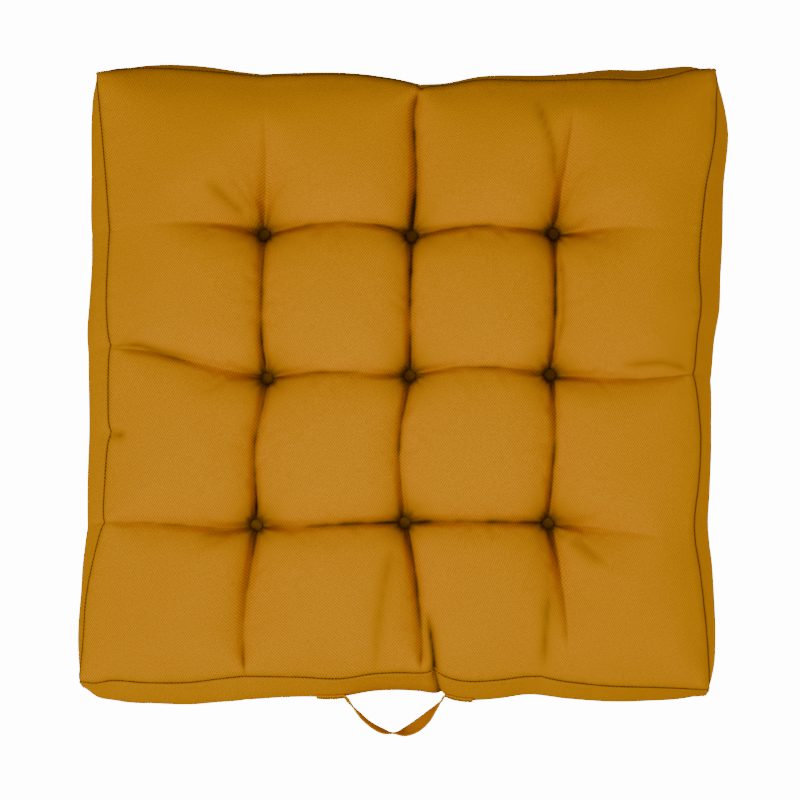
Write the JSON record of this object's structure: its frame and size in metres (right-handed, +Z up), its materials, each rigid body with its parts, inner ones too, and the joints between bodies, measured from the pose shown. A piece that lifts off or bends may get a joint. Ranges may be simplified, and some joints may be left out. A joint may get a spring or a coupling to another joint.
{
  "type": "floor cushion",
  "caption": "Square box floor cushion in twill canvas, button-tufted through its thickness, with a sewn carrying strap on one side.",
  "frame": {"origin": "on the floor, under the middle of the box that holds the cushion and its strap", "axes": "+Z up through the thickness, -Y towards the side with the carrying strap, +X to the right seen from that side"},
  "size_m": [0.616, 0.645, 0.1084],
  "materials": {
    "cover_canvas": "matt ochre cotton twill canvas",
    "strap_canvas": "folded and topstitched ochre canvas",
    "button_canvas": "gathered ochre canvas, dark in the dimples",
    "seam_thread": "brown polyester sewing thread",
    "tufting_twine": "waxed polyester twine",
    "polyester_fibre": "white hollow polyester fibre",
    "button_steel": "plated steel button back"
  },
  "bodies": {
    "cushion": {"top_panel": "cover_canvas", "bottom_panel": "cover_canvas", "border_front": "cover_canvas", "border_right": "cover_canvas", "border_back": "cover_canvas", "border_left": "cover_canvas", "filling": "polyester_fibre", "top_seam_thread": "seam_thread", "bottom_seam_thread": "seam_thread", "top_button_cap_row1_col1": "button_canvas", "top_button_cap_row1_col2": "button_canvas", "top_button_cap_row1_col3": "button_canvas", "top_button_cap_row2_col1": "button_canvas", "top_button_cap_row2_col2": "button_canvas", "top_button_cap_row2_col3": "button_canvas", "top_button_cap_row3_col1": "button_canvas", "top_button_cap_row3_col2": "button_canvas", "top_button_cap_row3_col3": "button_canvas", "under_button_cap_row1_col1": "button_canvas", "under_button_cap_row1_col2": "button_canvas", "under_button_cap_row1_col3": "button_canvas", "under_button_cap_row2_col1": "button_canvas", "under_button_cap_row2_col2": "button_canvas", "under_button_cap_row2_col3": "button_canvas", "under_button_cap_row3_col1": "button_canvas", "under_button_cap_row3_col2": "button_canvas", "under_button_cap_row3_col3": "button_canvas", "top_button_back_row1_col1": "button_steel", "top_button_back_row1_col2": "button_steel", "top_button_back_row1_col3": "button_steel", "top_button_back_row2_col1": "button_steel", "top_button_back_row2_col2": "button_steel", "top_button_back_row2_col3": "button_steel", "top_button_back_row3_col1": "button_steel", "top_button_back_row3_col2": "button_steel", "top_button_back_row3_col3": "button_steel", "under_button_back_row1_col1": "button_steel", "under_button_back_row1_col2": "button_steel", "under_button_back_row1_col3": "button_steel", "under_button_back_row2_col1": "button_steel", "under_button_back_row2_col2": "button_steel", "under_button_back_row2_col3": "button_steel", "under_button_back_row3_col1": "button_steel", "under_button_back_row3_col2": "button_steel", "under_button_back_row3_col3": "button_steel", "tufting_twine_row1_col1": "tufting_twine", "tufting_twine_row1_col2": "tufting_twine", "tufting_twine_row1_col3": "tufting_twine", "tufting_twine_row2_col1": "tufting_twine", "tufting_twine_row2_col2": "tufting_twine", "tufting_twine_row2_col3": "tufting_twine", "tufting_twine_row3_col1": "tufting_twine", "tufting_twine_row3_col2": "tufting_twine", "tufting_twine_row3_col3": "tufting_twine", "handle_tab_left": "strap_canvas", "handle_tab_right": "strap_canvas", "handle_stitching_left": "seam_thread", "handle_stitching_right": "seam_thread"},
    "handle": {"handle_loop": "strap_canvas"}
  },
  "joints": [
    {"name": "handle_swing", "type": "hinge", "parent": "cushion", "child": "handle", "pos_m": [-0.006, -0.2971, 0.0495], "axis": [-1, 0, 0], "range_deg": [-60, 100]}
  ]
}
